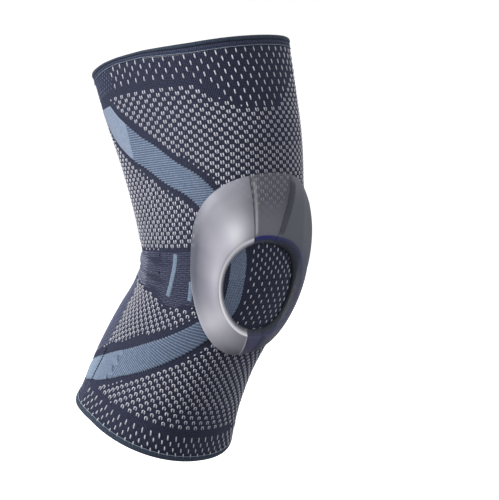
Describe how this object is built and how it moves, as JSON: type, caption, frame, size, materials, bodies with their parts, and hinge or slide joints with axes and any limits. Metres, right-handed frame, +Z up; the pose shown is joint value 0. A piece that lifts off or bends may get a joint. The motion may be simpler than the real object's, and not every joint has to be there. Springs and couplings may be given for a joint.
{
  "type": "knitted knee sleeve with a patella pad",
  "caption": "Knitted knee sleeve bent for a slightly flexed knee, with a welt at each end, light support bands and a clear ring pad round the kneecap.",
  "frame": {"origin": "the middle of the knee, inside the tube, where the bent knee carries the sleeve", "axes": "+Z up along the standing leg, -Y out of the kneecap, -X out of the outer side of the leg"},
  "size_m": [0.1394, 0.1841, 0.3143],
  "materials": {
    "navy_knit": "fine ribbed elastic knit, matt, navy with off-white stitches",
    "welt_knit": "double knit edge, matt, navy",
    "light_knit": "ribbed elastic knit, matt, light grey blue",
    "clear_rubber": "glossy clear grey silicone"
  },
  "bodies": {
    "root": {"knit_sleeve": "navy_knit", "top_welt": "welt_knit", "bottom_welt": "welt_knit", "outer_support_band": "light_knit", "inner_support_band": "light_knit", "patella_pad": "clear_rubber"}
  },
  "joints": []
}
